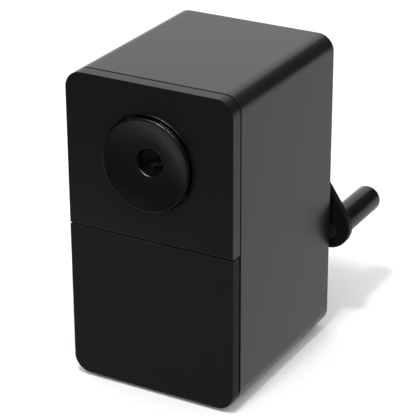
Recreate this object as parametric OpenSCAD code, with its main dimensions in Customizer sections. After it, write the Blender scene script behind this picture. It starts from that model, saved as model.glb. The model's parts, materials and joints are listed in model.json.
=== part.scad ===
// Hand-cranked desktop pencil sharpener with a pull-out feed disc and a shavings drawer.
// Millimetres, +Z up. The front faces -Y and the crank is at +Y.
// The origin is under the middle of the housing, on the surface that the sharpener stands on.

/* [Body] */
// Width of the housing
body_w = 63; // [62:0.5:66]
// Height of the housing, without the base pad
body_h = 112; // [111:0.5:116]
// Depth from the front faces to the back edge of the housing
body_d = 73; // [73:0.5:76]
// Radius of the four long edges
corner_r = 6; // [5:0.5:7]
// Wall thickness of the housing
wall = 2.4; // [2.2:0.1:2.6]
// Thickness of the front panel and the drawer front
front_t = 5.5; // [5:0.25:6]
// Thickness of the base pad
pad_h = 1.2; // [1:0.1:2]

/* [Drawer] */
// Height of the drawer front
drawer_h = 56.4; // [55:0.1:56.6]
// Gap between the drawer front and the front panel
drawer_gap = 0.35; // [0.3:0.05:0.6]
// Gap between the drawer front and the housing behind it
drawer_back_gap = 1; // [0.6:0.1:1.2]
// Wall thickness of the drawer tub
tub_wall = 1.8; // [1.5:0.1:2]

/* [Feed disc] */
// Height of the pencil axis above the housing's lower edge
axis_up = 84.8; // [84:0.1:85.5]
// Radius of the feed disc
disc_r = 16.4; // [16:0.1:16.5]
// How far the disc's rim stands in front of the front panel
disc_proud = 2.3; // [2:0.1:2.8]
// Depth of the dish in the face of the disc
dish_depth = 2.9; // [2.4:0.1:3.1]
// Radius of the pencil hole
pencil_r = 4.8; // [4.6:0.1:4.8]

/* [Crank] */
// Distance from the crank's axis to the centre of the grip
crank_throw = 57.2; // [50:0.1:60]
// Distance from the crank's axis to the centre of the arm's round end
arm_length = 55.3; // [48:0.1:58]
// Angle of the arm below the horizontal at rest
crank_angle = 58.1; // [0:0.1:90]
// Radius of the arm round the shaft
hub_r = 6.7; // [6.2:0.1:8]
// Radius of the arm round the grip
arm_end_r = 8.6; // [7:0.1:9]
// Thickness of the arm
arm_t = 3; // [2.5:0.1:3.5]
// Gap between the back of the housing and the arm
arm_gap = 3.1; // [3:0.1:4]
// Radius of the grip
grip_r = 5.1; // [4.8:0.1:6]
// Length of the grip
grip_length = 30.5; // [28:0.5:32]

/* [Cutter] */
// Angle between the cutter's axis and the pencil's axis
cutter_tilt = 11.5; // [11.5:0.1:11.6]
// Radius of the fluted cutter
cutter_r = 4.8; // [4.5:0.1:4.8]
// Number of flutes
flutes = 12; // [9:1:14]

/* [Hidden] */
$fn = 64;

// Running clearance of a shaft in its bush, and the usual clearance of parts that pass each other
fit = 0.05;
clear = 0.3;

// Screws: the hole that they are driven into, the shank and the head of the usual size
screw_hole_r = 1.3;
screw_r = 1.2;
screw_head_r = 2.4;
screw_head_t = 1.4;

// Housing
half_w = body_w / 2;
front_y = -body_d / 2;
back_y = body_d / 2;
seam_y = front_y + front_t;
base_z = pad_h;
top_z = pad_h + body_h;
floor_z = base_z + wall;
inner_w = body_w - 2 * wall;
rear_t = 2.5;
rear_recess = 1;
rear_y = back_y - rear_recess - rear_t;
split_z = base_z + drawer_h;
panel_z = split_z + drawer_gap;
axis_z = base_z + axis_up;

// Deck and frames
deck_t = 1.8;
deck_drop = 0.35;
deck_z = split_z - deck_drop;
deck_top = deck_z + deck_t;
frame_t = 2.5;
frame_half_w = 25;
frame_top = axis_z + 18.5;
frame_setback = 1.3;
front_frame_y = seam_y + frame_setback;
middle_frame_y = -5;
rear_frame_y = 26;
chute_half_w = 15;
chute_y = [-2, 24];
tie_x = 20;
tie_z = [64, frame_top - 3];
tie_r = 2.5;

// Feed carriage
travel = 14;
disc_back_y = front_y + 4.5;
collar_in_r = disc_r + 0.35;
collar_r = collar_in_r + 0.55;
collar_proud = 0.4;
lip = 0.5;
sleeve_r = 8.5;
sleeve_in_r = pencil_r + 0.5;
sleeve_end_y = -10;
cap_t = 1.5;
rod_x = 12;
rod_r = 1.5;
rod_bush_r = 2.6;
spring_solid = 6.2;
clip_y = front_frame_y + frame_t + travel + spring_solid;
clip_t = 0.8;
rod_end_y = clip_y + 1.4;
spring_r = 2.6;
spring_wire_r = 0.35;
spring_turns = 8;
spring_gap = 0.1;
jaw_w = 3;
jaw_y = [-16, -10.3];
jaw_tip_r = 3.1;
jaw_out_r = 7.9;

// Cutter unit
gear_module = 0.8;
planet_teeth = 10;
ring_teeth = 32;
gear_y = 2;
gear_face = 2.2;
tooth_t = 0.95;
orbit_r = gear_module * (ring_teeth - planet_teeth) / 2;
ring_pitch_r = gear_module * ring_teeth / 2;
planet_pitch_r = gear_module * planet_teeth / 2;
ring_outer_r = 17;
ring_root_r = ring_pitch_r + 1.4;
ring_bore_r = ring_root_r + 0.5;
carrier_y = [-2, 22.6];
carrier_flange_r = 12.4;
carrier_web_r = [5.6, 11.2];
journal_r = 9;
journal_in_r = pencil_r + 0.7;
front_bush_r = 11;
carrier_disc_t = 2.4;
pin_r = 1.2;
shaft_r = 3;
rear_bush_r = 6;

// Crank
boss_end_y = back_y + 1.6;
arm_y = back_y + arm_gap;
arm_back_y = arm_y + arm_t;
handle_pin_r = 2;
pin_head_r = 2.8;
pin_head_t = 0.5;

// Drawer
tub_half_w = inner_w / 2 - 1.5;
tub_front = seam_y - drawer_back_gap;
tub_z = [floor_z + 0.7, split_z - 3];
tub_end_y = 26;
catch_t = 0.8;
runner_x = 22;

// A flat outline in X and Z, drawn out along Y from y0 to y1
module along_y(y0, y1) {
    translate([0, y1, 0])
    rotate([90, 0, 0])
    linear_extrude(y1 - y0)
    children();
}

// A profile of radius and Y, turned about the pencil's axis
module about_axis() {
    translate([0, 0, axis_z])
    rotate([-90, 0, 0])
    rotate_extrude($fn = 96)
    children();
}

// A round bar along Y at x, z
module bar_y(x, z, r, y0, y1, sides = 48) {
    translate([x, y0, z])
    rotate([-90, 0, 0])
    cylinder(r = r, h = y1 - y0, $fn = sides);
}

// A rounded rectangle in X and Z
module rounded(w, z0, z1, r) {
    hull_w = w / 2 - r;
    translate([-hull_w, z0])
    square([2 * hull_w, z1 - z0]);
    translate([-w / 2, z0 + r])
    square([w, z1 - z0 - 2 * r]);
    for (x = [-hull_w, hull_w], z = [z0 + r, z1 - r]) {
        translate([x, z])
        circle(r = r);
    }
}

// The whole front outline of the housing
module body_outline(inset = 0) {
    rounded(body_w - 2 * inset, base_z + inset, top_z - inset, corner_r - inset);
}

// Straight-sided teeth that point outwards, as a closed outline
module toothed(teeth, root_r, root_half, tip_r, tip_half) {
    step = 360 / teeth;
    polygon([
        for (i = [0 : teeth - 1])
        for (corner = [[root_r, -root_half], [tip_r, -tip_half], [tip_r, tip_half], [root_r, root_half]])
        corner[0] * [cos(i * step + corner[1]), sin(i * step + corner[1])]
    ]);
}

// A screw along Y: a round head with a cross recess, and a shank that starts at the head's inner face.
// direction is +1 where the shank points to +Y.
module screw(x, z, y, direction, head_r, head_t, shank_r, shank_l) {
    translate([x, y, z])
    rotate([-90 * direction, 0, 0]) {
        difference() {
            translate([0, 0, -head_t])
            cylinder(r = head_r, h = head_t, $fn = 32);
            for (turn = [0, 90]) {
                rotate([0, 0, turn])
                translate([-head_r * 0.55, -head_r * 0.12, -head_t - 1])
                cube([head_r * 1.1, head_r * 0.24, 1 + head_t * 0.5]);
            }
        }
        cylinder(r = shank_r, h = shank_l, $fn = 32);
    }
}

// ---------- Housing ----------

rear_screw_x = inner_w / 2 - 3.1;
rear_screw_z = [floor_z + 4.4, top_z - wall - 4.4];
rear_head_r = 2.5;
rear_head_t = 0.9;

module housing_shell() {
    boss_y = rear_y - 3.5;
    color([0.10, 0.10, 0.105])
    difference() {
        union() {
            difference() {
                along_y(seam_y, back_y) body_outline();
                along_y(seam_y - 1, back_y + 1) body_outline(wall);
            }
            intersection() {
                for (x = [-rear_screw_x, rear_screw_x], z = rear_screw_z) {
                    bar_y(x, z, 4, boss_y, rear_y, 32);
                }
                along_y(boss_y - 1, rear_y + 1) body_outline(wall / 2);
            }
        }
        for (x = [-rear_screw_x, rear_screw_x], z = rear_screw_z) {
            bar_y(x, z, screw_hole_r, boss_y - 1, rear_y + 1, 32);
        }
    }
}

panel_screw_x = 21;
panel_screw_z = [axis_z - 12, axis_z + 9];

module front_panel() {
    color([0.055, 0.055, 0.058])
    difference() {
        union() {
            along_y(front_y, seam_y)
            intersection() {
                body_outline();
                translate([-half_w, panel_z])
                square([body_w, body_h]);
            }
            for (x = [-panel_screw_x, panel_screw_x], z = panel_screw_z) {
                bar_y(x, z, 3, seam_y, front_frame_y, 32);
            }
        }
        bar_y(0, axis_z, collar_r, front_y - 1, seam_y + 1, 96);
        for (x = [-panel_screw_x, panel_screw_x], z = panel_screw_z) {
            bar_y(x, z, screw_hole_r, front_y + 2, front_frame_y + 1, 32);
        }
    }
}

module disc_collar() {
    collar_round = 0.2;
    color([0.09, 0.09, 0.095])
    about_axis()
    polygon([
        [collar_in_r, seam_y],
        [collar_r, seam_y],
        [collar_r, front_y - collar_proud + collar_round],
        [collar_r - collar_round, front_y - collar_proud],
        [collar_in_r + collar_round, front_y - collar_proud],
        [collar_in_r, front_y - collar_proud + collar_round]
    ]);
}

module panel_screws() {
    color([0.55, 0.55, 0.57])
    for (x = [-panel_screw_x, panel_screw_x], z = panel_screw_z) {
        screw(x, z, front_frame_y + frame_t, -1, screw_head_r, screw_head_t, screw_r, frame_t + 3.5);
    }
}

module rear_panel() {
    color([0.06, 0.06, 0.063])
    difference() {
        union() {
            along_y(rear_y, rear_y + rear_t) body_outline(wall);
            about_axis()
            polygon([
                [0, rear_y],
                [13, rear_y],
                [13, rear_y + rear_t],
                [12, rear_y + rear_t + 0.8],
                [10, boss_end_y - 0.5],
                [9.5, boss_end_y],
                [0, boss_end_y]
            ]);
        }
        bar_y(0, axis_z, shaft_r + 0.6, rear_y - 1, boss_end_y + 1);
        for (x = [-rear_screw_x, rear_screw_x], z = rear_screw_z) {
            bar_y(x, z, screw_hole_r + 0.1, rear_y - 1, rear_y + rear_t + 1, 32);
        }
    }
}

module rear_screws() {
    color([0.25, 0.25, 0.26])
    for (x = [-rear_screw_x, rear_screw_x], z = rear_screw_z) {
        screw(x, z, rear_y + rear_t, -1, rear_head_r, rear_head_t, screw_r, rear_t + 3);
    }
}

module base_pad() {
    color([0.03, 0.03, 0.03])
    linear_extrude(pad_h)
    difference() {
        translate([-half_w + 4, front_y + 9])
        square([body_w - 8, body_d - 13]);
        for (x = [-half_w + 4, half_w - 4], y = [front_y + 9, back_y - 4]) {
            translate([x, y])
            rotate(45)
            square(4, center = true);
        }
    }
}

// ---------- Deck, frames and bearings ----------

module deck_plate() {
    color([0.62, 0.63, 0.65])
    difference() {
        translate([-inner_w / 2, seam_y + clear, deck_z])
        cube([inner_w, rear_y - seam_y - 2 * clear, deck_t]);
        translate([-chute_half_w, chute_y[0], deck_z - 1])
        cube([2 * chute_half_w, chute_y[1] - chute_y[0], deck_t + 2]);
    }
}

// One upright frame plate with the four tie rod holes
module frame_plate(y) {
    difference() {
        translate([-frame_half_w, y, deck_top])
        cube([2 * frame_half_w, frame_t, frame_top - deck_top]);
        children();
    }
}

module front_frame() {
    color([0.66, 0.67, 0.69])
    frame_plate(front_frame_y) {
        bar_y(0, axis_z, jaw_out_r + 1.7, front_frame_y - 1, front_frame_y + frame_t + 1, 64);
        for (x = [-rod_x, rod_x]) {
            bar_y(x, axis_z, rod_bush_r, front_frame_y - 1, front_frame_y + frame_t + 1, 32);
        }
        for (x = [-panel_screw_x, panel_screw_x], z = panel_screw_z) {
            bar_y(x, z, screw_hole_r, front_frame_y - 1, front_frame_y + frame_t + 1, 32);
        }
        tie_holes(front_frame_y, screw_hole_r);
    }
}

module middle_frame() {
    color([0.66, 0.67, 0.69])
    frame_plate(middle_frame_y) {
        bar_y(0, axis_z, front_bush_r, middle_frame_y - 1, middle_frame_y + frame_t + 1, 64);
        tie_holes(middle_frame_y, tie_r + fit);
    }
}

module rear_frame() {
    color([0.66, 0.67, 0.69])
    frame_plate(rear_frame_y) {
        bar_y(0, axis_z, rear_bush_r, rear_frame_y - 1, rear_frame_y + frame_t + 1, 64);
        tie_holes(rear_frame_y, screw_hole_r);
    }
}

module tie_holes(y, r) {
    for (x = [-tie_x, tie_x], z = tie_z) {
        bar_y(x, z, r, y - 1, y + frame_t + 1, 32);
    }
}

module tie_rods() {
    front = front_frame_y + frame_t;
    color([0.74, 0.75, 0.77])
    for (x = [-tie_x, tie_x], z = tie_z) {
        difference() {
            bar_y(x, z, tie_r, front, rear_frame_y, 32);
            bar_y(x, z, screw_hole_r, front - 1, front + 5, 32);
            bar_y(x, z, screw_hole_r, rear_frame_y - 5, rear_frame_y + 1, 32);
        }
    }
}

module frame_screws() {
    color([0.55, 0.55, 0.57])
    for (x = [-tie_x, tie_x], z = tie_z) {
        screw(x, z, front_frame_y, 1, screw_head_r, frame_setback - clear, screw_r, frame_t + 4);
        screw(x, z, rear_frame_y + frame_t, -1, screw_head_r, screw_head_t, screw_r, frame_t + 4);
    }
}

module rod_bushes() {
    color([0.72, 0.55, 0.25])
    for (x = [-rod_x, rod_x]) {
        difference() {
            bar_y(x, axis_z, rod_bush_r, front_frame_y - 0.6, front_frame_y + frame_t, 32);
            bar_y(x, axis_z, rod_r + fit, front_frame_y - 2, front_frame_y + frame_t + 1, 32);
        }
    }
}

module front_bush() {
    color([0.72, 0.55, 0.25])
    difference() {
        bar_y(0, axis_z, front_bush_r, middle_frame_y, middle_frame_y + frame_t);
        bar_y(0, axis_z, journal_r + fit, middle_frame_y - 1, middle_frame_y + frame_t + 1);
    }
}

module rear_bush() {
    color([0.72, 0.55, 0.25])
    difference() {
        bar_y(0, axis_z, rear_bush_r, rear_frame_y - 0.4, rear_frame_y + frame_t + 0.5);
        bar_y(0, axis_z, shaft_r + fit, rear_frame_y - 1, rear_frame_y + frame_t + 1);
    }
}

ring_y = [middle_frame_y + frame_t, gear_y + gear_face / 2 + 0.2];

module ring_gear() {
    tooth_y = gear_y - gear_face / 2;
    pitch_half = 180 / ring_teeth;
    tip_r = ring_pitch_r - 0.7;
    tip_half = pitch_half - asin((tooth_t / 2 - 0.7 * tan(20)) / tip_r);
    root_half = pitch_half - asin((tooth_t / 2 + 1.4 * tan(20)) / ring_root_r);
    color([0.50, 0.51, 0.53])
    difference() {
        bar_y(0, axis_z, ring_outer_r, ring_y[0], ring_y[1], 96);
        bar_y(0, axis_z, ring_bore_r, ring_y[0] - 1, tooth_y, 96);
        translate([0, ring_y[1] + 1, axis_z])
        rotate([90, 0, 0])
        linear_extrude(ring_y[1] + 1 - tooth_y)
        toothed(ring_teeth, tip_r, tip_half, ring_root_r, root_half);
    }
}

// ---------- Drawer ----------

module drawer_runners() {
    color([0.85, 0.85, 0.83])
    for (x = [-runner_x - 2, runner_x - 2]) {
        translate([x, seam_y + 2, floor_z])
        cube([4, tub_end_y - seam_y - 4, 0.4]);
    }
}

module drawer_magnet() {
    magnet_y = tub_end_y + catch_t + clear;
    color([0.20, 0.20, 0.21])
    translate([-7, magnet_y, floor_z])
    cube([14, rear_y - magnet_y, 12]);
}

module drawer_front() {
    color([0.045, 0.045, 0.047])
    difference() {
        along_y(front_y, tub_front)
        intersection() {
            body_outline();
            translate([-half_w, base_z])
            square([body_w, drawer_h]);
        }
        for (x = [-drawer_screw_x, drawer_screw_x]) {
            bar_y(x, drawer_screw_z, screw_hole_r, tub_front - drawer_screw_bite - clear, tub_front + 1, 32);
        }
    }
}

drawer_screw_x = 16;
drawer_screw_z = base_z + drawer_h / 2;
drawer_screw_bite = 2.2;

module drawer_tub() {
    color([0.13, 0.13, 0.135])
    difference() {
        translate([-tub_half_w, tub_front, tub_z[0]])
        cube([2 * tub_half_w, tub_end_y - tub_front, tub_z[1] - tub_z[0]]);
        translate([-tub_half_w + tub_wall, tub_front + tub_wall, tub_z[0] + tub_wall])
        cube([2 * (tub_half_w - tub_wall), tub_end_y - tub_front - 2 * tub_wall, body_h]);
        for (x = [-drawer_screw_x, drawer_screw_x]) {
            bar_y(x, drawer_screw_z, screw_hole_r, tub_front - 1, tub_front + tub_wall + 1, 32);
        }
    }
}

module drawer_screws() {
    color([0.55, 0.55, 0.57])
    for (x = [-drawer_screw_x, drawer_screw_x]) {
        screw(x, drawer_screw_z, tub_front + tub_wall, -1, screw_head_r, screw_head_t, screw_r,
              tub_wall + drawer_screw_bite);
    }
}

module catch_plate() {
    color([0.70, 0.71, 0.73])
    translate([-6, tub_end_y, floor_z + 1.5])
    cube([12, catch_t, 9]);
}

// ---------- Feed disc and chuck ----------

module feed_disc() {
    rim_y = front_y - disc_proud;
    lip_r = pencil_r + lip;
    dish_out_r = disc_r - 0.7;
    dish_steps = 16;
    lip_steps = 6;
    color([0.08, 0.08, 0.085])
    about_axis()
    polygon(concat(
        [
            [pencil_r, disc_back_y],
            [disc_r - 0.8, disc_back_y],
            [disc_r - 0.8, front_y - 0.1],
            [disc_r - 1.4, front_y - 0.5],
            [disc_r - 1.4, front_y - 0.9],
            [disc_r, front_y - 1.3],
            [disc_r, rim_y + 0.4],
            [disc_r - 0.3, rim_y]
        ],
        [
            for (i = [0 : dish_steps])
            let (k = 1 - i / dish_steps)
            [lip_r + (dish_out_r - lip_r) * k, rim_y + dish_depth * (1 - pow(k, 2))]
        ],
        [
            for (i = [1 : lip_steps])
            let (a = 90 * i / lip_steps)
            [lip_r - lip * sin(a), rim_y + dish_depth + lip * (1 - cos(a))]
        ]
    ));
}

module chuck_sleeve() {
    color([0.72, 0.73, 0.75])
    difference() {
        bar_y(0, axis_z, sleeve_r, disc_back_y, sleeve_end_y);
        bar_y(0, axis_z, sleeve_in_r, disc_back_y - 1, sleeve_end_y + 1);
        for (turn = [0, 120, 240]) {
            jaw_place(turn)
            translate([-jaw_w / 2 - 0.2, jaw_y[0] - 0.2, 0])
            cube([jaw_w + 0.4, sleeve_end_y - jaw_y[0] + 1, sleeve_r + 1]);
        }
    }
}

// Turns a jaw, drawn upright on the axis, to its place round the axis
module jaw_place(turn) {
    translate([0, 0, axis_z])
    rotate([0, turn, 0])
    children();
}

module chuck_cap() {
    color([0.72, 0.73, 0.75])
    difference() {
        bar_y(0, axis_z, sleeve_r, sleeve_end_y, sleeve_end_y + cap_t);
        bar_y(0, axis_z, sleeve_in_r, sleeve_end_y - 1, sleeve_end_y + cap_t + 1);
    }
}

module chuck_jaw(turn) {
    color([0.80, 0.78, 0.70])
    jaw_place(turn)
    translate([-jaw_w / 2, jaw_y[0], jaw_tip_r])
    cube([jaw_w, jaw_y[1] - jaw_y[0], jaw_out_r - jaw_tip_r]);
}

module guide_rods() {
    color([0.78, 0.79, 0.81])
    for (x = [-rod_x, rod_x]) {
        bar_y(x, axis_z, rod_r, disc_back_y, rod_end_y, 32);
    }
}

module rod_clips() {
    color([0.30, 0.30, 0.32])
    for (x = [-rod_x, rod_x]) {
        difference() {
            bar_y(x, axis_z, 3, clip_y, clip_y + clip_t, 32);
            bar_y(x, axis_z, rod_r, clip_y - 1, clip_y + clip_t + 1, 32);
            translate([x - 0.6, clip_y - 1, axis_z - 4])
            cube([1.2, clip_t + 2, 4]);
        }
    }
}

// A coil round Y, swept as rings of points along its helix
module coil(length, turns, r, wire_r) {
    sides = 6;
    steps = turns * 14;
    rings = [
        for (i = [0 : steps])
        let (a = 360 * turns * i / steps)
        [
            for (j = [0 : sides - 1])
            let (b = 360 * j / sides)
            [
                (r + wire_r * cos(b)) * cos(a),
                wire_r + (length - 2 * wire_r) * i / steps + wire_r * sin(b),
                (r + wire_r * cos(b)) * sin(a)
            ]
        ]
    ];
    points = [for (ring = rings) each ring];
    walls = [
        for (i = [0 : steps - 1], j = [0 : sides - 1])
        let (k = (j + 1) % sides)
        each [
            [i * sides + j, (i + 1) * sides + j, (i + 1) * sides + k],
            [i * sides + j, (i + 1) * sides + k, i * sides + k]
        ]
    ];
    first = [for (j = [0 : sides - 1]) j];
    last = [for (j = [0 : sides - 1]) steps * sides + sides - 1 - j];
    polyhedron(points, concat(walls, [first, last]));
}

module return_springs() {
    spring_y = front_frame_y + frame_t + spring_gap;
    color([0.75, 0.76, 0.78])
    for (x = [-rod_x, rod_x]) {
        translate([x, spring_y, axis_z])
        coil(clip_y - spring_gap - spring_y, spring_turns, spring_r, spring_wire_r);
    }
}

// ---------- Cutter unit ----------

// Puts children, drawn along +Z from the gear's plane, on the tilted axis of the cutter
module on_cutter_axis() {
    translate([0, gear_y, axis_z + orbit_r])
    rotate([-90 - cutter_tilt, 0, 0])
    children();
}

pin_front = -4;
pin_back = 22.6;

module crank_shaft() {
    color([0.76, 0.77, 0.79])
    difference() {
        bar_y(0, axis_z, shaft_r, carrier_y[1] + carrier_disc_t, arm_back_y + 0.5);
        bar_y(0, axis_z, screw_hole_r, arm_back_y - 6, arm_back_y + 2, 32);
    }
}

module cutter_carrier() {
    color([0.60, 0.61, 0.63])
    difference() {
        union() {
            bar_y(0, axis_z, journal_r, middle_frame_y - 0.2, carrier_y[0]);
            bar_y(0, axis_z, carrier_flange_r, carrier_y[0], carrier_y[0] + 1.6);
            intersection() {
                difference() {
                    bar_y(0, axis_z, carrier_web_r[1], carrier_y[0], carrier_y[1]);
                    bar_y(0, axis_z, carrier_web_r[0], carrier_y[0] - 1, carrier_y[1] + 1);
                }
                translate([-20, carrier_y[0], axis_z - 20])
                cube([40, carrier_y[1] - carrier_y[0], 17]);
            }
            bar_y(0, axis_z, carrier_web_r[1], carrier_y[1], carrier_y[1] + carrier_disc_t);
        }
        bar_y(0, axis_z, journal_in_r, middle_frame_y - 2, carrier_y[0] + 3);
        on_cutter_axis()
        translate([0, 0, pin_front - 2])
        cylinder(r = pin_r, h = pin_back - pin_front + 2, $fn = 48);
    }
}

module cutter_pin() {
    color([0.80, 0.81, 0.83])
    on_cutter_axis()
    translate([0, 0, pin_front])
    cylinder(r = pin_r, h = pin_back - pin_front, $fn = 48);
}

module cutter() {
    start = gear_face / 2 + 0.2;
    length = 17.2;
    color([0.45, 0.46, 0.48])
    on_cutter_axis()
    difference() {
        translate([0, 0, start])
        linear_extrude(length, twist = -50, slices = 14)
        toothed(flutes, cutter_r - 0.8, 360 / flutes * 0.42, cutter_r, 360 / flutes * 0.12);
        translate([0, 0, start - 1])
        cylinder(r = pin_r + fit, h = length + 2, $fn = 48);
    }
}

module planet_gear() {
    tip_r = planet_pitch_r + 0.65;
    root_r = planet_pitch_r - 1.05;
    tip_half = asin((tooth_t / 2 - 0.65 * tan(20)) / tip_r);
    root_half = asin((tooth_t / 2 + 1.05 * tan(20)) / root_r);
    color([0.72, 0.55, 0.25])
    on_cutter_axis()
    rotate([0, 0, 180 / planet_teeth])
    translate([0, 0, -gear_face / 2])
    difference() {
        linear_extrude(gear_face)
        toothed(planet_teeth, root_r, root_half, tip_r, tip_half);
        translate([0, 0, -1])
        cylinder(r = pin_r + fit, h = gear_face + 2, $fn = 48);
    }
}

// ---------- Crank ----------

// Turns children, drawn along +X from the crank's axis, down to the arm's rest angle
module on_arm() {
    translate([0, 0, axis_z])
    rotate([0, crank_angle, 0])
    children();
}

module arm_outline() {
    lean = asin((arm_end_r - hub_r) / arm_length);
    circle(r = hub_r);
    translate([arm_length, 0])
    circle(r = arm_end_r);
    polygon([
        hub_r * [-sin(lean), cos(lean)],
        [arm_length, 0] + arm_end_r * [-sin(lean), cos(lean)],
        [arm_length, 0] + arm_end_r * [-sin(lean), -cos(lean)],
        hub_r * [-sin(lean), -cos(lean)]
    ]);
}

module crank_arm() {
    color([0.05, 0.05, 0.052])
    difference() {
        on_arm()
        difference() {
            union() {
                along_y(arm_y, arm_back_y) arm_outline();
                translate([0, boss_end_y + 0.8, 0])
                rotate([-90, 0, 0])
                cylinder(r = 5.6, h = arm_y - boss_end_y);
            }
            translate([crank_throw, arm_y - 1, 0])
            rotate([-90, 0, 0])
            cylinder(r = handle_pin_r, h = arm_t + 2, $fn = 48);
        }
        bar_y(0, axis_z, shaft_r, boss_end_y, arm_back_y + 1);
    }
}

module hub_washer() {
    color([0.75, 0.75, 0.73])
    difference() {
        bar_y(0, axis_z, 6, boss_end_y + 0.15, boss_end_y + 0.65);
        bar_y(0, axis_z, shaft_r + fit, boss_end_y, boss_end_y + 1);
    }
}

module hub_screw() {
    seat_y = arm_back_y + 0.5;
    color([0.18, 0.18, 0.19])
    screw(0, axis_z, seat_y, -1, 4.6, 1.8, screw_hole_r, 5);
}

module handle_pin() {
    color([0.18, 0.18, 0.19])
    on_arm()
    translate([crank_throw, arm_y, 0])
    rotate([-90, 0, 0]) {
        cylinder(r = handle_pin_r, h = arm_t + grip_length - 4, $fn = 48);
        translate([0, 0, -pin_head_t])
        cylinder(r = pin_head_r, h = pin_head_t, $fn = 32);
    }
}

module handle_grip() {
    nose = 1.8;
    nose_steps = 8;
    pin_depth = grip_length - 3.7;
    color([0.07, 0.07, 0.072])
    on_arm()
    translate([crank_throw, arm_back_y + 0.3, 0])
    rotate([-90, 0, 0])
    rotate_extrude()
    polygon(concat(
        [
            [0, pin_depth],
            [handle_pin_r + fit, pin_depth],
            [handle_pin_r + fit, 0],
            [grip_r - 0.5, 0],
            [grip_r, 0.5]
        ],
        [
            for (i = [0 : nose_steps])
            let (a = 90 * i / nose_steps)
            [grip_r - nose + nose * cos(a), grip_length - nose + nose * sin(a)]
        ],
        [[0, grip_length]]
    ));
}

housing_shell();
front_panel();
disc_collar();
panel_screws();
rear_panel();
rear_screws();
base_pad();
deck_plate();
front_frame();
middle_frame();
rear_frame();
tie_rods();
frame_screws();
rod_bushes();
front_bush();
rear_bush();
ring_gear();
drawer_runners();
drawer_magnet();
drawer_front();
drawer_tub();
drawer_screws();
catch_plate();
feed_disc();
chuck_sleeve();
chuck_cap();
guide_rods();
rod_clips();
return_springs();
chuck_jaw(0);  // chuck_jaw_1
chuck_jaw(120);  // chuck_jaw_2
chuck_jaw(240);  // chuck_jaw_3
crank_shaft();
cutter_carrier();
cutter_pin();
crank_arm();
hub_screw();
hub_washer();
handle_pin();
cutter();
planet_gear();
handle_grip();
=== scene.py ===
import json
import math

import bpy
from mathutils import Matrix, Vector


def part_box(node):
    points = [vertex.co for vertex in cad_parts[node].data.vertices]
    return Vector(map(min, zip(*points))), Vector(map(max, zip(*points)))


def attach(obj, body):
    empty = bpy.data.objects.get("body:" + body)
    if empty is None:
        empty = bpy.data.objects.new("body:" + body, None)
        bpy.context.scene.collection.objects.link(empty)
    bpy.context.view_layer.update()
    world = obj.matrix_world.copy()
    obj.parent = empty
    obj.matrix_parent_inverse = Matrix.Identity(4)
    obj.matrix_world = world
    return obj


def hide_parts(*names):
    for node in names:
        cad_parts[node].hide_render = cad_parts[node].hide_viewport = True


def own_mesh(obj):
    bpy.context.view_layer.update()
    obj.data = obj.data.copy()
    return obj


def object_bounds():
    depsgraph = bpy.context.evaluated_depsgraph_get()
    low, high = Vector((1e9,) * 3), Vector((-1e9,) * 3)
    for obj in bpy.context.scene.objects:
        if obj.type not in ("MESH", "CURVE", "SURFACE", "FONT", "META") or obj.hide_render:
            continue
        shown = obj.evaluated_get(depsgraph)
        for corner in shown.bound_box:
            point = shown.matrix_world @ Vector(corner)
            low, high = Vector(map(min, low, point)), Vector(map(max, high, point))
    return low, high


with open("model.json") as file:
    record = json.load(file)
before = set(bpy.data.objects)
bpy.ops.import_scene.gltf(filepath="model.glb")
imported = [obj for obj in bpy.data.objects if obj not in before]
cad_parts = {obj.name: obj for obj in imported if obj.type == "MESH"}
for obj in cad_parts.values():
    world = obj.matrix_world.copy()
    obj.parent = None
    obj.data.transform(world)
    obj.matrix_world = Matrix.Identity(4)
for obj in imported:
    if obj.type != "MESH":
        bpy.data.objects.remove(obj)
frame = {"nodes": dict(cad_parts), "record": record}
cad_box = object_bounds()

# ---- Place and light -------------------------------------------------------------------
# The sharpener stands on a pale table under one small softbox, seen from its front right.
# The camera is aimed at the middle of the housing and everything is a share of its height.
shell_low, shell_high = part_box("housing_shell")
front_low, front_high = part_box("front_panel")
body_height = shell_high.z - shell_low.z
body_middle = Vector((0.0, 0.0, (shell_low.z + shell_high.z) / 2))

turn, tilt, roll = math.radians(29.2), math.radians(24.52), math.radians(-0.185)
back = Vector((math.sin(turn) * math.cos(tilt), -math.cos(turn) * math.cos(tilt), math.sin(tilt)))
level = Vector((math.cos(turn), math.sin(turn), 0.0))
upright = back.cross(level)
right = level * math.cos(roll) + upright * math.sin(roll)
up = upright * math.cos(roll) - level * math.sin(roll)
camera_data = bpy.data.cameras.new("camera")
camera_data.sensor_width = 36.0
camera_data.lens = 158.66
camera = bpy.data.objects.new("camera", camera_data)
bpy.context.scene.collection.objects.link(camera)
camera_spot = body_middle + (back * 5.7575 + right * 0.0203 - up * 0.0196) * body_height
camera.matrix_world = Matrix((
    (right.x, up.x, back.x, camera_spot.x),
    (right.y, up.y, back.y, camera_spot.y),
    (right.z, up.z, back.z, camera_spot.z),
    (0.0, 0.0, 0.0, 1.0),
))
bpy.context.scene.camera = camera
bpy.context.scene.view_settings.view_transform = "Standard"

room = bpy.data.worlds.new("studio")
bpy.context.scene.world = room
room.use_nodes = True
room.node_tree.nodes["Background"].inputs["Color"].default_value = (1.0, 1.0, 1.0, 1.0)
room.node_tree.nodes["Background"].inputs["Strength"].default_value = 1.0


def softbox(name, spot, aim, width, depth, power):
    light = bpy.data.lights.new(name, "AREA")
    light.shape = "RECTANGLE"
    light.size = width
    light.size_y = depth
    light.energy = power
    lamp = bpy.data.objects.new(name, light)
    bpy.context.scene.collection.objects.link(lamp)
    lamp.location = spot
    lamp.rotation_mode = "QUATERNION"
    lamp.rotation_quaternion = (Vector(aim) - Vector(spot)).to_track_quat("-Z", "Y")
    lamp.visible_camera = False


softbox("key_light", (0.03, -0.35, 0.93), (0, 0, 0.05), 0.12, 0.12, 4.6)


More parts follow.
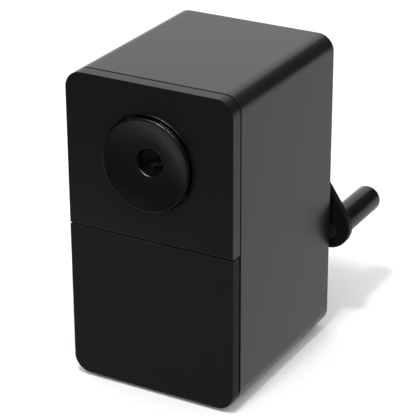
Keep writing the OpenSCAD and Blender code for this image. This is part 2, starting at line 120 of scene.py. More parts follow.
def deselect_all():
    if bpy.context.object and bpy.context.object.mode != "OBJECT":
        bpy.ops.object.mode_set(mode="OBJECT")
    bpy.ops.object.select_all(action="DESELECT")


def settle(name):
    """Names the active object and moves its place into its mesh."""
    made = bpy.context.active_object
    made.name = name
    made.data.name = name
    bpy.ops.object.transform_apply(location=True, rotation=True, scale=True)
    return made


deselect_all()
bpy.ops.mesh.primitive_plane_add(size=6.0, location=(0, 0, cad_box[0].z - 0.00005))
table_top = settle("table_top")
table_paint = bpy.data.materials.new("table_paint")
table_paint.use_nodes = True
table_shader = table_paint.node_tree.nodes["Principled BSDF"]
table_shader.inputs["Base Color"].default_value = (0.88, 0.878, 0.875, 1)
table_shader.inputs["Roughness"].default_value = 0.9
table_top.data.materials.append(table_paint)


# What the black surfaces mirror: a dark room in front, to both sides and overhead with one bright
# strip light in it, a floor that is lit only near the sharpener, and a grey floor to the right.
lit_x, lit_y = -0.10, -0.03
lit_reach = 0.24


def mirror_card(name, low, high, dim, near=0.0):
    """A card that only shines in reflections; near is its glow at the lit spot, if it has one."""
    deselect_all()
    bpy.ops.mesh.primitive_cube_add(size=1.0, location=(Vector(low) + Vector(high)) / 2)
    bpy.context.active_object.scale = Vector(high) - Vector(low)
    card = settle(name)
    dull = bpy.data.materials.new(name)
    dull.use_nodes = True
    nodes, links = dull.node_tree.nodes, dull.node_tree.links
    shade = nodes["Principled BSDF"]
    shade.inputs["Base Color"].default_value = (0.0, 0.0, 0.0, 1.0)
    shade.inputs["Specular IOR Level"].default_value = 0.0
    shade.inputs["Emission Strength"].default_value = 1.0
    shade.inputs["Emission Color"].default_value = (dim, dim, dim, 1.0)
    if near:
        spread = nodes.new("ShaderNodeMapping")
        spread.inputs["Location"].default_value = (-lit_x / lit_reach, -lit_y / lit_reach, 0.0)
        spread.inputs["Scale"].default_value = (1 / lit_reach, 1 / lit_reach, 0.0)
        links.new(nodes.new("ShaderNodeTexCoord").outputs["Object"], spread.inputs["Vector"])
        fade = nodes.new("ShaderNodeTexGradient")
        fade.gradient_type = "QUADRATIC_SPHERE"
        links.new(spread.outputs["Vector"], fade.inputs["Vector"])
        level = nodes.new("ShaderNodeMapRange")
        level.inputs["To Min"].default_value = dim
        level.inputs["To Max"].default_value = near
        links.new(fade.outputs["Fac"], level.inputs["Value"])
        links.new(level.outputs["Result"], shade.inputs["Emission Color"])
    card.data.materials.append(dull)
    card.visible_camera = False
    card.visible_diffuse = False
    card.visible_shadow = False


mirror_card("lit_floor", (-1.0, -1.0, 0.0), (0.6, front_low.y - 0.001, 0.0002), 0.08, 0.85)
mirror_card("grey_floor", (shell_high.x + 0.004, front_low.y, 0.0), (1.3, 1.3, 0.0002), 0.72)
mirror_card("dim_front", (-1.0, -1.01, 0.0), (1.3, -1.0, 1.3), 0.05)
mirror_card("dim_left", (-1.01, -1.0, 0.0), (-1.0, 0.2, 1.3), 0.05)
mirror_card("dim_right", (1.3, -1.0, 0.0), (1.31, 1.3, 1.3), 0.06)
mirror_card("dim_back", (0.02, 1.3, 0.0), (1.3, 1.31, 1.3), 0.06)
mirror_card("dim_ceiling", (-1.0, -1.0, 1.3), (1.3, 0.6, 1.31), 0.04)
mirror_card("strip_light", (-0.35, -0.44, 0.96), (0.60, -0.26, 0.97), 26.0)


# ---- Housing shell -----------------------------------------------------------------------
# One extruded box with round long edges, open at the front and the back, in black powder coat.
# The front panel and the rear panel close it.
def cuboid(name, low, high):
    deselect_all()
    low, high = Vector(low), Vector(high)
    bpy.ops.mesh.primitive_cube_add(size=1.0, location=(low + high) / 2)
    bpy.context.active_object.scale = high - low
    return settle(name)


def make_active(piece):
    deselect_all()
    piece.select_set(True)
    bpy.context.view_layer.objects.active = piece


def pick(piece, kind, test):
    """Selects the edges or faces that pass a test, and leaves the piece in edit mode."""
    make_active(piece)
    bpy.ops.object.mode_set(mode="EDIT")
    bpy.ops.mesh.select_mode(type="EDGE" if kind == "edges" else "FACE")
    bpy.ops.mesh.select_all(action="DESELECT")
    bpy.ops.object.mode_set(mode="OBJECT")
    spots = [v.co for v in piece.data.vertices]
    if kind == "edges":
        for edge in piece.data.edges:
            edge.select = test(spots[edge.vertices[0]], spots[edge.vertices[1]])
    else:
        for face in piece.data.polygons:
            face.select = test(face.center, face.normal)
    bpy.ops.object.mode_set(mode="EDIT")


def done_editing():
    bpy.ops.object.mode_set(mode="OBJECT")


def bevel_edges(piece, width, steps, test):
    pick(piece, "edges", test)
    bpy.ops.mesh.bevel(offset=width, segments=steps, affect="EDGES")
    done_editing()


def along_depth(a, b):
    """True for an edge that runs from front to back."""
    return abs(a.x - b.x) < 1e-6 and abs(a.z - b.z) < 1e-6


def along_height(a, b):
    """True for an edge that runs from bottom to top."""
    return abs(a.x - b.x) < 1e-6 and abs(a.y - b.y) < 1e-6


def level_front_edge(y, z):
    """A test for the long level edge of a front plate, at its front face y and height z."""
    return lambda a, b: (abs(a.z - z) < 1e-6 and abs(b.z - z) < 1e-6
                         and abs(a.x - b.x) > 0.01 and abs(a.y - y) < 1e-6)


def smooth(piece, angle=32):
    make_active(piece)
    bpy.ops.object.shade_smooth_by_angle(angle=math.radians(angle))


def soften(piece, width, steps=2, angle=35):
    """Breaks every sharp edge, as a painted edge is broken, and keeps the faces beside it flat."""
    make_active(piece)
    broken = piece.modifiers.new("broken_edges", "BEVEL")
    broken.width = width
    broken.segments = steps
    broken.limit_method = "ANGLE"
    broken.angle_limit = math.radians(angle)
    bpy.ops.object.modifier_apply(modifier="broken_edges")
    smooth(piece)
    flat = piece.modifiers.new("flat_faces", "WEIGHTED_NORMAL")
    flat.keep_sharp = True
    bpy.ops.object.modifier_apply(modifier="flat_faces")


def cut_away(piece, tool):
    """Cuts the tool's shape out of a piece and removes the tool."""
    make_active(piece)
    cut = piece.modifiers.new("cut", "BOOLEAN")
    cut.operation = "DIFFERENCE"
    cut.solver = "EXACT"
    cut.object = tool
    bpy.ops.object.modifier_apply(modifier="cut")
    bpy.data.objects.remove(tool)


def new_group(name, inputs, outputs):
    group = bpy.data.node_groups.new(name, "ShaderNodeTree")
    for label, value in inputs:
        socket = group.interface.new_socket(label, in_out="INPUT", socket_type="NodeSocketFloat")
        socket.default_value = value
    for label in outputs:
        group.interface.new_socket(label, in_out="OUTPUT", socket_type="NodeSocketFloat")
    entry = group.nodes.new("NodeGroupInput")
    leave = group.nodes.new("NodeGroupOutput")
    return group, entry, leave


def maths(tree, operation, first, second=None, clamp=False):
    """Adds a Math node; each operand is a socket or a number."""
    node = tree.nodes.new("ShaderNodeMath")
    node.operation = operation
    node.use_clamp = clamp
    for place, value in enumerate((first, second)):
        if value is None:
            continue
        if isinstance(value, (int, float)):
            node.inputs[place].default_value = value
        else:
            tree.links.new(value, node.inputs[place])
    return node.outputs[0]


def noise(tree, scale, detail, rough, coordinates):
    node = tree.nodes.new("ShaderNodeTexNoise")
    node.inputs["Detail"].default_value = detail
    node.inputs["Roughness"].default_value = rough
    if isinstance(scale, (int, float)):
        node.inputs["Scale"].default_value = scale
    else:
        tree.links.new(scale, node.inputs["Scale"])
    tree.links.new(coordinates, node.inputs["Vector"])
    return node.outputs["Fac"]


# The skin of sprayed or moulded black: fine grain for the bump, slow cloudy change for the gloss.
skin, skin_in, skin_out = new_group("sprayed_skin", [("Grain Size", 1500.0), ("Cloud Size", 28.0)],
                                    ["Grain", "Cloud", "Dust"])
place = skin.nodes.new("ShaderNodeTexCoord").outputs["Object"]
coarse = noise(skin, skin_in.outputs["Grain Size"], 2.0, 0.6, place)
finer = noise(skin, maths(skin, "MULTIPLY", skin_in.outputs["Grain Size"], 2.7), 1.0, 0.5, place)
grain = maths(skin, "ADD", maths(skin, "MULTIPLY", coarse, 0.7), maths(skin, "MULTIPLY", finer, 0.3))
skin.links.new(grain, skin_out.inputs["Grain"])
cloud = noise(skin, skin_in.outputs["Cloud Size"], 4.0, 0.55, place)
skin.links.new(cloud, skin_out.inputs["Cloud"])
specks = noise(skin, maths(skin, "MULTIPLY", skin_in.outputs["Grain Size"], 0.55), 3.0, 0.7, place)
dust = maths(skin, "MULTIPLY", maths(skin, "SUBTRACT", specks, 0.66), 9.0, clamp=True)
skin.links.new(dust, skin_out.inputs["Dust"])

# Where handling has rubbed the edges: only on sharp convex edges, broken up by noise.
rub, rub_in, rub_out = new_group("rubbed_edges", [("Amount", 1.0), ("Break Up", 420.0)], ["Rub"])
point = rub.nodes.new("ShaderNodeNewGeometry").outputs["Pointiness"]
sharp = maths(rub, "MULTIPLY", maths(rub, "SUBTRACT", point, 0.56), 12.0, clamp=True)
place = rub.nodes.new("ShaderNodeTexCoord").outputs["Object"]
flecks = noise(rub, rub_in.outputs["Break Up"], 4.0, 0.6, place)
patchy = maths(rub, "MULTIPLY", maths(rub, "SUBTRACT", flecks, 0.38), 3.4, clamp=True)
rubbed = maths(rub, "MULTIPLY", maths(rub, "MULTIPLY", sharp, patchy), rub_in.outputs["Amount"], clamp=True)
rub.links.new(rubbed, rub_out.inputs["Rub"])


def blend_colour(tree, amount, first, second):
    node = tree.nodes.new("ShaderNodeMix")
    node.data_type = "RGBA"
    for label, value in (("A", first), ("B", second)):
        socket = next(s for s in node.inputs if s.name == label and s.type == "RGBA")
        if isinstance(value, tuple):
            socket.default_value = (*value, 1.0)
        else:
            tree.links.new(value, socket)
    tree.links.new(amount, node.inputs["Factor"])
    return next(s for s in node.outputs if s.type == "RGBA")


def bump(tree, height, depth, under=None):
    node = tree.nodes.new("ShaderNodeBump")
    node.inputs["Strength"].default_value = 1.0
    node.inputs["Distance"].default_value = depth
    tree.links.new(height, node.inputs["Height"])
    if under:
        tree.links.new(under, node.inputs["Normal"])
    return node.outputs["Normal"]


def coated(name, colour, gloss, spread, bare, grain_size=1500.0, grain_depth=0.000012, wear=0.5,
           specular=0.5, dusty=0.25):
    """A painted or moulded finish: colour, roughness and its spread, and the colour that wear shows."""
    finish = bpy.data.materials.new(name)
    finish.use_nodes = True
    tree = finish.node_tree
    shader = tree.nodes["Principled BSDF"]
    shader.inputs["Specular IOR Level"].default_value = specular
    surface = tree.nodes.new("ShaderNodeGroup")
    surface.node_tree = skin
    surface.inputs["Grain Size"].default_value = grain_size
    edges = tree.nodes.new("ShaderNodeGroup")
    edges.node_tree = rub
    edges.inputs["Amount"].default_value = wear
    lighter = tuple(min(1.0, c * 1.12) for c in colour)
    clouded = blend_colour(tree, surface.outputs["Cloud"], colour, lighter)
    dusted = blend_colour(tree, maths(tree, "MULTIPLY", surface.outputs["Dust"], dusty * 0.03), clouded,
                          (0.32, 0.31, 0.30))
    worn = blend_colour(tree, edges.outputs["Rub"], dusted, bare)
    tree.links.new(worn, shader.inputs["Base Color"])
    swing = maths(tree, "MULTIPLY", maths(tree, "SUBTRACT", surface.outputs["Cloud"], 0.5), spread * 2)
    tree.links.new(maths(tree, "ADD", swing, gloss, clamp=True), shader.inputs["Roughness"])
    tree.links.new(bump(tree, surface.outputs["Grain"], grain_depth), shader.inputs["Normal"])
    return finish


def finish_piece(piece, finish, body, slot, *stands_for):
    piece.data.materials.clear()
    piece.data.materials.append(finish)
    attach(piece, body)
    if stands_for:
        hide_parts(*stands_for)


housing_powder = coated("housing_powder", (0.004, 0.004, 0.0042), 0.30, 0.02, (0.03, 0.03, 0.032))
corner = 0.006
shell_wall = 0.0024
shell = cuboid("housing", shell_low, shell_high)
bevel_edges(shell, corner, 14, along_depth)
pick(shell, "faces", lambda centre, normal: abs(normal.y) > 0.9)
bpy.ops.mesh.inset(thickness=shell_wall, use_even_offset=True)
bpy.ops.mesh.bridge_edge_loops()
done_editing()
make_active(shell)
bpy.ops.object.mode_set(mode="EDIT")
bpy.ops.mesh.select_all(action="SELECT")
bpy.ops.mesh.remove_doubles(threshold=1e-7)
bpy.ops.mesh.normals_make_consistent(inside=False)
done_editing()
soften(shell, 0.0003)
finish_piece(shell, housing_powder, "housing", "housing_paint", "housing_shell")


# ---- Front panel -------------------------------------------------------------------------
# A thick plate that closes the upper half of the front. The feed disc passes through its hole.
# Its front edges are crisp, its lower edge is chamfered, and a fine groove parts it from the housing.
def rod(name, x, z, radius, y0, y1, sides=96):
    deselect_all()
    bpy.ops.mesh.primitive_cylinder_add(vertices=sides, radius=radius, depth=y1 - y0,
                                        location=(x, (y0 + y1) / 2, z), rotation=(math.pi / 2, 0, 0))
    return settle(name)


disc_low, disc_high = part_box("feed_disc")
collar_low, collar_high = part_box("disc_collar")
axis_x = (disc_low.x + disc_high.x) / 2
axis_z = (disc_low.z + disc_high.z) / 2
collar_out = (collar_high.x - collar_low.x) / 2
panel_groove = 0.0006
panel_back = shell_low.y - panel_groove
seam_chamfer = 0.0003
crisp_edge = 0.00018
panel_matt = coated("panel_matt", (0.0042, 0.0042, 0.0044), 0.32, 0.02, (0.03, 0.03, 0.032), specular=0.3)
panel = cuboid("upper_front", (front_low.x, front_low.y, front_low.z),
               (front_high.x, panel_back, front_high.z))
bevel_edges(panel, corner, 14, lambda a, b: along_depth(a, b) and a.z > axis_z)
cut_away(panel, rod("hole", axis_x, axis_z, collar_out, front_low.y - 0.01, panel_back + 0.01, 128))
bevel_edges(panel, seam_chamfer, 1, level_front_edge(front_low.y, front_low.z))
soften(panel, crisp_edge)
finish_piece(panel, panel_matt, "housing", "panel_paint", "front_panel")

step = cuboid("panel_step", (front_low.x + panel_groove, panel_back - 0.0002, front_low.z + panel_groove),
              (front_high.x - panel_groove, shell_low.y, front_high.z - panel_groove))
bevel_edges(step, corner - panel_groove, 14, lambda a, b: along_depth(a, b) and a.z > axis_z)
cut_away(step, rod("hole", axis_x, axis_z, collar_out, front_low.y - 0.01, shell_low.y + 0.01, 128))
smooth(step)
finish_piece(step, panel_matt, "housing", "panel_paint")


# ---- Feed disc and its collar ------------------------------------------------------------
# The disc is turned from bar: a dished face, a rounded rim with a finger groove behind it, and a
# lipped hole for the pencil. The thin collar is pressed into the panel's hole.
def turned(name, x, z, profile, sides=160):
    """Draws a ring through (radius, y) steps, and welds it where the profile ends at its start."""
    deselect_all()
    radius, y = profile[0]
    bpy.ops.mesh.primitive_circle_add(vertices=sides, radius=radius, location=(x, y, z),
                                      rotation=(math.pi / 2, 0, 0))
    ring = settle(name)
    bpy.ops.object.mode_set(mode="EDIT")
    bpy.ops.mesh.select_mode(type="EDGE")
    bpy.ops.mesh.select_all(action="SELECT")
    for next_radius, next_y in profile[1:]:
        share = next_radius / radius
        bpy.ops.mesh.extrude_region_move(TRANSFORM_OT_translate={"value": (0, next_y - y, 0)})
        bpy.ops.transform.resize(value=(share, 1, share), center_override=(x, next_y, z))
        radius, y = next_radius, next_y
    bpy.ops.mesh.select_all(action="SELECT")
    bpy.ops.mesh.remove_doubles(threshold=1e-7)
    bpy.ops.mesh.normals_make_consistent(inside=False)
    done_editing()
    smooth(ring)
    return ring


def rounded_turn(radius, y, size, start, end, steps=5):
    """Points of a quarter round about (radius, y), from one angle to another in degrees."""
    return [(radius + size * math.cos(math.radians(start + (end - start) * i / steps)),
             y + size * math.sin(math.radians(start + (end - start) * i / steps))) for i in range(steps + 1)]


def turned_finish(name, colour, gloss, specular):
    """Black finish over a turned face: fine rings about the pencil's axis, over the usual grain."""
    ring_depth = 0.0000035
    ring_spacing = 0.00042
    finish = coated(name, colour, gloss, 0.05, (0.11, 0.11, 0.115), wear=0.35, specular=specular,
                    grain_depth=0.000005)
    tree = finish.node_tree
    apart = tree.nodes.new("ShaderNodeSeparateXYZ")
    tree.links.new(tree.nodes.new("ShaderNodeTexCoord").outputs["Object"], apart.inputs[0])
    across = maths(tree, "SUBTRACT", apart.outputs["X"], axis_x)
    high = maths(tree, "SUBTRACT", apart.outputs["Z"], axis_z)
    distance = maths(tree, "SQRT", maths(tree, "ADD", maths(tree, "MULTIPLY", across, across),
                                         maths(tree, "MULTIPLY", high, high)))
    rings = maths(tree, "SINE", maths(tree, "MULTIPLY", distance, 2 * math.pi / ring_spacing))
    shader = tree.nodes["Principled BSDF"]
    under = shader.inputs["Normal"].links[0].from_socket
    tree.links.new(bump(tree, rings, ring_depth, under), shader.inputs["Normal"])
    return finish


disc_radius = (disc_high.x - disc_low.x) / 2
bore_radius = 0.0048
lip = 0.0007
rim_y = disc_low.y
dish_depth = 0.0029
stem_radius = disc_radius - 0.0008
groove_radius = stem_radius - 0.0006
rim_round = 0.0004
profile = [(bore_radius, disc_high.y), (stem_radius, disc_high.y), (stem_radius, front_low.y + 0.0002),
           (groove_radius, front_low.y - 0.0004), (groove_radius, front_low.y - 0.0008)]
profile += rounded_turn(disc_radius - rim_round, front_low.y - 0.0014, rim_round, 90, 0, 4)
profile += rounded_turn(disc_radius - rim_round, rim_y + rim_round, rim_round, 0, -90)
dish_steps = 22
for i in range(dish_steps + 1):
    k = 1 - i / dish_steps
    radius = bore_radius + lip + (stem_radius - bore_radius - lip) * k
    profile.append((radius, rim_y + dish_depth * (1 - k * k)))
profile += [(bore_radius + lip - lip * math.sin(math.radians(a)),
             rim_y + dish_depth + lip - lip * math.cos(math.radians(a))) for a in (15, 30, 45, 60, 75, 90)]
profile.append((bore_radius, disc_high.y))
disc_black = turned_finish("disc_black", (0.002, 0.002, 0.0021), 0.28, 0.38)
disc = turned("pull_disc", axis_x, axis_z, profile)
finish_piece(disc, disc_black, "carriage", "disc_finish", "feed_disc")

collar_in = disc_radius + 0.00035
collar_round = 0.0002
profile = [(collar_in, shell_low.y), (collar_out, shell_low.y), (collar_out, collar_low.y + collar_round)]
profile += rounded_turn(collar_out - collar_round, collar_low.y + collar_round, collar_round, 0, -90, 3)
profile += rounded_turn(collar_in + collar_round, collar_low.y + collar_round, collar_round, -90, -180, 3)
profile.append((collar_in, shell_low.y))
collar = turned("panel_collar", axis_x, axis_z, profile)
finish_piece(collar, disc_black, "housing", "disc_finish", "disc_collar")


# ---- Drawer ------------------------------------------------------------------------------
# The lower half of the front is the drawer's face, a thick plate with round lower corners. The tub
# behind it is moulded in dark plastic, open at the top, and held to the face by two screws.
face_low, face_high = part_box("drawer_front")
drawer_matt = coated("drawer_matt", (0.008, 0.008, 0.0082), 0.44, 0.02, (0.03, 0.03, 0.032), specular=0.06,
                     grain_size=1700.0)
face = cuboid("drawer_face", face_low, face_high)
bevel_edges(face, corner, 14, lambda a, b: along_depth(a, b) and a.z < (face_low.z + face_high.z) / 2)
bevel_edges(face, seam_chamfer, 1, level_front_edge(face_low.y, face_high.z))
soften(face, crisp_edge)
finish_piece(face, drawer_matt, "drawer", "drawer_paint", "drawer_front")

tub_low, tub_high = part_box("drawer_tub")
tub_plastic = coated("tub_plastic", (0.022, 0.022, 0.023), 0.55, 0.06, (0.07, 0.07, 0.072), grain_size=2600.0,
                     wear=0.3, specular=0.4)
tub_wall = 0.0018
tub = cuboid("tub", tub_low, tub_high)
bevel_edges(tub, 0.003, 6, along_height)
pick(tub, "faces", lambda centre, normal: normal.z > 0.9)
bpy.ops.mesh.inset(thickness=tub_wall, use_even_offset=True)
bpy.ops.mesh.extrude_region_move(TRANSFORM_OT_translate={"value": (0, 0, tub_low.z + tub_wall - tub_high.z)})
done_editing()
soften(tub, 0.0004)
finish_piece(tub, tub_plastic, "drawer", "tub_plastic", "drawer_tub")


# ---- Rear panel and its screws -----------------------------------------------------------
# A plate set a little into the back of the housing, with a round boss for the crank's shaft and
# four cross-head screws in the corners.
rear_low, rear_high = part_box("rear_panel")
rear_face = shell_high.y - 0.001
rear = cuboid("rear_plate", rear_low, (rear_high.x, rear_face, rear_high.z))
bevel_edges(rear, corner - shell_wall, 10, along_depth)
boss_radius = 0.0127
cut_away(rear, rod("hole", axis_x, axis_z, boss_radius, rear_low.y - 0.01, rear_face + 0.01))
soften(rear, 0.0003)
finish_piece(rear, panel_matt, "housing", "panel_paint", "rear_panel")

boss_hole = 0.0036
profile = [(boss_hole, rear_low.y), (boss_radius, rear_low.y), (boss_radius, rear_face - 0.0003),
           (0.0130, rear_face), (0.0130, rear_face + 0.0004), (0.0122, rear_face + 0.0009),
           (0.0101, rear_high.y - 0.0012)]
profile += rounded_turn(0.0094, rear_high.y - 0.0006, 0.0006, 20, 90)
profile += [(boss_hole + 0.0004, rear_high.y), (boss_hole, rear_high.y - 0.0004), (boss_hole, rear_low.y)]
boss = turned("shaft_boss", axis_x, axis_z, profile, 128)
finish_piece(boss, panel_matt, "housing", "panel_paint")

screw_low, screw_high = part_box("rear_screws")
black_oxide = coated("black_oxide", (0.006, 0.006, 0.0062), 0.36, 0.08, (0.10, 0.10, 0.105),
                     grain_size=3000.0, wear=0.5, grain_depth=0.000004)
black_oxide.node_tree.nodes["Principled BSDF"].inputs["Metallic"].default_value = 0.2


def cross_head(name, x, z, seat, height, radius, sides=48):
    """A domed screw head whose seat faces the front, with a cross recess, and a short shank."""
    shank = radius * 0.5
    shank_length = 0.003
    steps = [(shank, seat - shank_length), (shank, seat), (radius, seat), (radius, seat + height * 0.35)]
    steps += [(radius * math.cos(math.radians(a)), seat + height * (0.35 + 0.65 * math.sin(math.radians(a))))
              for a in (20, 40, 60, 78)]
    steps.append((radius * 0.02, seat + height))
    head = turned(name, x, z, steps, sides)
    pick(head, "edges", lambda a, b: a.y > seat + height * 0.999 and b.y > seat + height * 0.999)
    bpy.ops.mesh.edge_face_add()
    done_editing()
    shank_end = seat - shank_length + 0.00001
    pick(head, "edges", lambda a, b: a.y < shank_end and b.y < shank_end)
    bpy.ops.mesh.edge_face_add()
    bpy.ops.mesh.select_all(action="SELECT")
    bpy.ops.mesh.normals_make_consistent(inside=False)
    done_editing()
    for wide, high in ((0.55, 0.12), (0.12, 0.55)):
        slot = cuboid("slot", (x - radius * wide, seat + height * 0.45, z - radius * high),
                      (x + radius * wide, seat + height * 1.5, z + radius * high))
        cut_away(head, slot)
    smooth(head)
    return head


head_radius = 0.0025
for number, (x, z) in enumerate([(x, z) for x in (screw_low.x + head_radius, screw_high.x - head_radius)
                                 for z in (screw_low.z + head_radius, screw_high.z - head_radius)]):
    head = cross_head(f"rear_screw_{number + 1}", x, z, rear_face, 0.0011, head_radius)
    finish_piece(head, black_oxide, "housing", "black_screws", "rear_screws")


# ---- Base pad ----------------------------------------------------------------------------
# A thin sheet of rubber glued under the housing, set in from its edges so that it doesn't show.
pad_low, pad_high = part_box("base_pad")
pad_rubber = coated("pad_rubber", (0.012, 0.012, 0.012), 0.8, 0.06, (0.03, 0.03, 0.03), grain_size=2400.0,
                    wear=0.1, specular=0.3, grain_depth=0.00003)
pad = cuboid("rubber_pad", pad_low, pad_high)
bevel_edges(pad, 0.0028, 8, along_height)
soften(pad, 0.0002)
finish_piece(pad, pad_rubber, "housing", "pad_rubber", "base_pad")


# ---- Crank -------------------------------------------------------------------------------
# A flat cast arm with a round eye at each end, painted matt black. A screw holds it on the shaft,
# and the grip, a turned plastic handle with a rounded end, turns on a riveted pin.
arm_low, arm_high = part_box("crank_arm")
grip_low, grip_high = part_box("handle_grip")
grip_x = (grip_low.x + grip_high.x) / 2
grip_z = (grip_low.z + grip_high.z) / 2
hub_radius = 0.0067
eye_radius = 0.0086
shaft_hole = 0.00305
pin_hole = 0.00205
collar_radius = 0.0056
arm_back = arm_high.y
arm_front = arm_back - 0.003
arm_way = Vector((grip_x - axis_x, 0, grip_z - axis_z)).normalized()
eye_spot = Vector((axis_x, 0, axis_z)) + arm_way * 0.0553

crank_matt = coated("crank_matt", (0.003, 0.003, 0.0031), 0.42, 0.03, (0.05, 0.05, 0.052), wear=0.4,
                    grain_size=1300.0, specular=0.2)
hub_end = rod("crank_bar", axis_x, axis_z, hub_radius, arm_front, arm_back, 64)
eye_end = rod("eye", eye_spot.x, eye_spot.z, eye_radius, arm_front, arm_back, 64)
deselect_all()
eye_end.select_set(True)
hub_end.select_set(True)
bpy.context.view_layer.objects.active = hub_end
bpy.ops.object.join()
arm = bpy.context.active_object
bpy.ops.object.mode_set(mode="EDIT")
bpy.ops.mesh.select_all(action="SELECT")
bpy.ops.mesh.convex_hull()
bpy.ops.mesh.select_all(action="SELECT")
bpy.ops.mesh.dissolve_limited(angle_limit=math.radians(0.5))
bpy.ops.mesh.normals_make_consistent(inside=False)
done_editing()
cut_away(arm, rod("hole", axis_x, axis_z, shaft_hole, arm_front - 0.01, arm_back + 0.01, 64))
cut_away(arm, rod("hole", grip_x, grip_z, pin_hole, arm_front - 0.01, arm_back + 0.01, 64))
soften(arm, 0.00045, 3)
finish_piece(arm, crank_matt, "crank", "crank_paint", "crank_arm")

profile = [(shaft_hole, arm_low.y), (collar_radius - 0.0003, arm_low.y), (collar_radius, arm_low.y + 0.0003),
           (collar_radius, arm_front + 0.0001), (shaft_hole, arm_front + 0.0001), (shaft_hole, arm_low.y)]
arm_collar = turned("arm_collar", axis_x, axis_z, profile, 96)
finish_piece(arm_collar, crank_matt, "crank", "crank_paint")

hub_seat = arm_back + 0.0005
hub_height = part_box("hub_screw")[1].y - hub_seat
hub = cross_head("hub_bolt", axis_x, axis_z, hub_seat, hub_height, 0.0046, 96)
finish_piece(hub, black_oxide, "crank", "black_screws", "hub_screw")

grip_radius = (grip_high.x - grip_low.x) / 2
nose = 0.0018
heel = 0.0006
centre_ring = 0.0001
hole_end = grip_high.y - 0.0037
profile = [(centre_ring, hole_end), (pin_hole, hole_end), (pin_hole, grip_low.y),
           (grip_radius - heel, grip_low.y)]
profile += rounded_turn(grip_radius - heel, grip_low.y + heel, heel, -90, 0)
profile += rounded_turn(grip_radius - nose, grip_high.y - nose, nose, 0, 90, 12)
profile += [(0.002, grip_high.y), (centre_ring, grip_high.y)]
grip_satin = coated("grip_satin", (0.003, 0.003, 0.0031), 0.24, 0.03, (0.02, 0.02, 0.021), grain_size=2200.0,
                    grain_depth=0.000004, wear=0.2, specular=0.4)
grip = turned("grip_handle", grip_x, grip_z, profile, 128)
for end in (grip_high.y, hole_end):
    pick(grip, "edges", lambda a, b: all(abs(point.x - grip_x) < 1.1 * centre_ring
                                         and abs(point.z - grip_z) < 1.1 * centre_ring
                                         and abs(point.y - end) < 1e-5 for point in (a, b)))
    bpy.ops.mesh.edge_face_add()
    done_editing()
finish_piece(grip, grip_satin, "grip", "grip_plastic", "handle_grip")


# ---- Working parts inside ----------------------------------------------------------------
# Frames, rods, bushes, gears and the cutter are seen only through the gaps. Each has the finish of
# what it is made of: cast alloy, ground or plated steel, bronze, nylon or acetal.
def metal(name, colour, gloss, spread, grain_size, stretch=(1.0, 1.0, 1.0), depth=0.000004):
    """Bare metal: streaks or grain along one way, cloudy gloss, and darker stains."""
    finish = bpy.data.materials.new(name)
    finish.use_nodes = True
    tree = finish.node_tree
    shader = tree.nodes["Principled BSDF"]
    shader.inputs["Metallic"].default_value = 1.0
    mapping = tree.nodes.new("ShaderNodeMapping")
    mapping.inputs["Scale"].default_value = stretch
    tree.links.new(tree.nodes.new("ShaderNodeTexCoord").outputs["Object"], mapping.inputs["Vector"])
    streaks = noise(tree, grain_size, 3.0, 0.6, mapping.outputs["Vector"])
    surface = tree.nodes.new("ShaderNodeGroup")
    surface.node_tree = skin
    edges = tree.nodes.new("ShaderNodeGroup")
    edges.node_tree = rub
    dark = tuple(c * 0.5 for c in colour)
    clouded = blend_colour(tree, maths(tree, "MULTIPLY", surface.outputs["Cloud"], 0.7), colour, dark)
    bright = tuple(min(1.0, c * 1.3) for c in colour)
    worn = blend_colour(tree, edges.outputs["Rub"], clouded, bright)
    tree.links.new(worn, shader.inputs["Base Color"])
    swing = maths(tree, "MULTIPLY", maths(tree, "SUBTRACT", streaks, 0.5), spread * 2)
    tree.links.new(maths(tree, "ADD", swing, gloss, clamp=True), shader.inputs["Roughness"])
    tree.links.new(bump(tree, streaks, depth), shader.inputs["Normal"])
    return finish


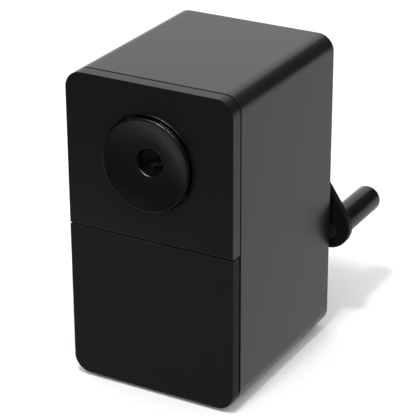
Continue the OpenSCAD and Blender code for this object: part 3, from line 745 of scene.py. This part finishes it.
finishes = {
    "frame_alloy": metal("cast_alloy", (0.52, 0.53, 0.55), 0.46, 0.12, 900.0, depth=0.00002),
    "chuck_alloy": metal("turned_alloy", (0.60, 0.61, 0.63), 0.30, 0.10, 500.0, (1.0, 8.0, 1.0)),
    "rod_steel": metal("ground_steel", (0.62, 0.63, 0.65), 0.18, 0.08, 400.0, (1.0, 9.0, 1.0)),
    "deck_steel": metal("zinc_plate", (0.50, 0.51, 0.53), 0.36, 0.12, 300.0, (1.0, 0.08, 1.0)),
    "spring_steel": metal("plated_steel", (0.48, 0.49, 0.51), 0.28, 0.10, 900.0),
    "tool_steel": metal("tool_steel", (0.36, 0.37, 0.39), 0.26, 0.12, 700.0, (1.0, 6.0, 1.0)),
    "bush_brass": metal("sintered_bronze", (0.55, 0.38, 0.16), 0.42, 0.12, 2600.0, depth=0.00001),
    "nylon": coated("nylon", (0.60, 0.59, 0.55), 0.48, 0.06, (0.72, 0.71, 0.68), grain_size=1200.0, wear=0.1),
    "jaw_plastic": coated("acetal", (0.62, 0.60, 0.50), 0.40, 0.06, (0.74, 0.72, 0.64), wear=0.2),
    "magnet": coated("magnet_holder", (0.03, 0.03, 0.032), 0.5, 0.06, (0.08, 0.08, 0.08), wear=0.3),
    "black_screws": black_oxide,
}
slots = {part["node"]: part["material_slot"] for part in frame["record"]["subparts"]}
for name, node in frame["nodes"].items():
    if slots[name] in finishes:
        for place in range(len(node.data.materials)):
            node.data.materials[place] = finishes[slots[name]]
        if not node.data.materials:
            node.data.materials.append(finishes[slots[name]])


# ---- Return springs ----------------------------------------------------------------------
# Two plain coils of plated wire on the guide rods, held between the front frame and the rod clips, drawn as
# they stand at rest. In the sharpener, pulling the disc out by its full travel closes them from 20 mm to 6
# mm, and they push it back.
wound = frame["nodes"]["return_springs"]
coils = wound.copy()
coils.data = wound.data.copy()
coils.name = "spring_coils"
bpy.context.collection.objects.link(coils)
pick(coils, "faces", lambda centre, normal: True)
bpy.ops.mesh.remove_doubles(threshold=1e-7)
done_editing()
smooth(coils, 60)
finish_piece(coils, finishes["spring_steel"], "housing", "spring_steel", "return_springs")
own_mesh(coils)
